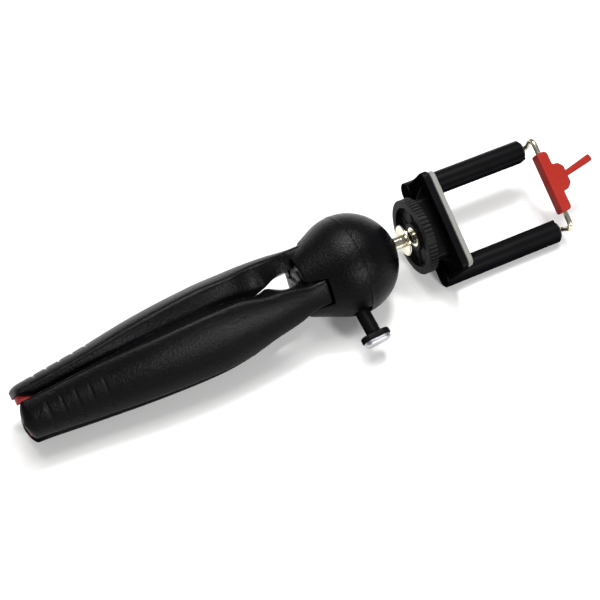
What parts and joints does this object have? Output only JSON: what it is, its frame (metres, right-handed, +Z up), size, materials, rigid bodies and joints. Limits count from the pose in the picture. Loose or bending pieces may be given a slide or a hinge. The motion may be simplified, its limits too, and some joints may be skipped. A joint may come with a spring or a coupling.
{
  "type": "mini tripod with phone clamp",
  "caption": "Folded table tripod with a round ball head, a side lock knob, a knurled wheel and a spring-loaded phone clamp with a red jaw.",
  "frame": {"origin": "middle of the bounding box, on the table", "axes": "+Z up, +X from the feet towards the phone clamp"},
  "size_m": [0.2792, 0.0624, 0.0469],
  "materials": {
    "black_body": "fine-grained satin black, moulded",
    "black_clamp": "glossy black, moulded",
    "grey_wheel": "satin dark grey, moulded",
    "red_rubber": "matte red rubber",
    "red_jaw": "satin red, soft-touch",
    "grey_pad": "matte light grey rubber",
    "chrome": "polished",
    "steel": "nickel-plated steel",
    "brass": "turned",
    "nylon": "natural nylon, and black on the bushes",
    "black_bush": "black nylon"
  },
  "bodies": {
    "handle": {"body_housing": "black_body", "head_cap": "black_body", "hub_plate": "black_body", "hub_screw": "steel", "hinge_pin_1": "steel", "hinge_pin_2": "steel", "hinge_pin_3": "steel"},
    "leg_1_body": {"leg_1": "black_body", "foot_sole_1": "red_rubber"},
    "leg_2_body": {"leg_2": "black_body", "foot_sole_2": "red_rubber"},
    "leg_3_body": {"leg_3": "black_body", "foot_sole_3": "red_rubber"},
    "ball_pan_body": {"ball_seat": "nylon"},
    "stud_body": {"ball_stud": "chrome"},
    "wheel_body": {"lock_wheel": "grey_wheel", "wheel_insert": "brass"},
    "clamp_body": {"clamp_base": "black_clamp", "base_pad": "grey_pad", "thread_insert": "brass", "clamp_tube_left": "black_clamp", "clamp_tube_right": "black_clamp", "tube_bush_left": "black_bush", "tube_bush_right": "black_bush", "clamp_spring_left": "steel", "clamp_spring_right": "steel"},
    "bow_body": {"wire_bow": "steel", "rod_stop_left": "steel", "rod_stop_right": "steel"},
    "jaw_body": {"jaw": "red_jaw"},
    "lock_screw_body": {"lock_screw": "steel"},
    "knob_body": {"knob_handle": "black_clamp", "knob_cap": "chrome"},
    "plunger_body": {"plunger": "brass"}
  },
  "joints": [
    {"name": "leg_1_hinge", "type": "hinge", "parent": "handle", "child": "leg_1_body", "pos_m": [-0.00905, -0.00467, 0.02741], "axis": [-0.0246, 0.5075, 0.8613], "range_deg": [0, 52]},
    {"name": "leg_2_hinge", "type": "hinge", "parent": "handle", "child": "leg_2_body", "pos_m": [-0.00904, 0.01421, 0.02724], "axis": [0.0249, 0.4924, -0.87], "range_deg": [0, 52]},
    {"name": "leg_3_hinge", "type": "hinge", "parent": "handle", "child": "leg_3_body", "pos_m": [-0.00858, 0.00463, 0.01098], "axis": [-0.0002, -1, 0.0087], "range_deg": [-1.3, 50.7]},
    {"name": "ball_pan", "type": "hinge", "parent": "handle", "child": "ball_pan_body", "pos_m": [0.02909, 0.00473, 0.02297], "axis": [0.9996, 0, 0.0286], "continuous": true},
    {"name": "ball_tilt", "type": "hinge", "parent": "ball_pan_body", "child": "stud_body", "pos_m": [0.02909, 0.00473, 0.02297], "axis": [0.0245, 0.5186, -0.8547], "range_deg": [-25.16, 18.84]},
    {"name": "wheel_spin", "type": "hinge", "parent": "stud_body", "child": "wheel_body", "pos_m": [0.04467, 0.00399, 0.02297], "axis": [0.9989, -0.0471, 0], "continuous": true},
    {"name": "clamp_turn", "type": "hinge", "parent": "stud_body", "child": "clamp_body", "pos_m": [0.04937, 0.00377, 0.02297], "axis": [0.9989, -0.0471, 0], "continuous": true},
    {"name": "bow_slide", "type": "slide", "parent": "clamp_body", "child": "bow_body", "axis": [0.9989, -0.0471, 0], "range_m": [0, 0.035], "stiffness_N_per_m": 200, "springref_m": -0.03, "deforming": ["clamp_spring_left", "clamp_spring_right"]},
    {"name": "jaw_hinge", "type": "hinge", "parent": "bow_body", "child": "jaw_body", "pos_m": [0.11782, 0.00099, 0.02207], "axis": [0.0422, 0.8942, 0.4458], "range_deg": [-60, 60]},
    {"name": "lock_screw_slide", "type": "slide", "parent": "handle", "child": "lock_screw_body", "axis": [0.0088, -0.9511, -0.3089], "range_m": [0, 0.0008]},
    {"name": "knob_turn", "type": "hinge", "parent": "lock_screw_body", "child": "knob_body", "pos_m": [0.00879, -0.01525, 0.01589], "axis": [0.0088, -0.9511, -0.3089], "range_deg": [0, 360]},
    {"name": "plunger_slide", "type": "slide", "parent": "handle", "child": "plunger_body", "axis": [-0.9996, 0, -0.0286], "range_m": [0, 0.00047]}
  ],
  "couplings": [
    {"joint": "knob_turn", "follows": "lock_screw_slide", "rad_per_m": 7853.9},
    {"joint": "plunger_slide", "follows": "lock_screw_slide", "ratio": 0.57735}
  ]
}
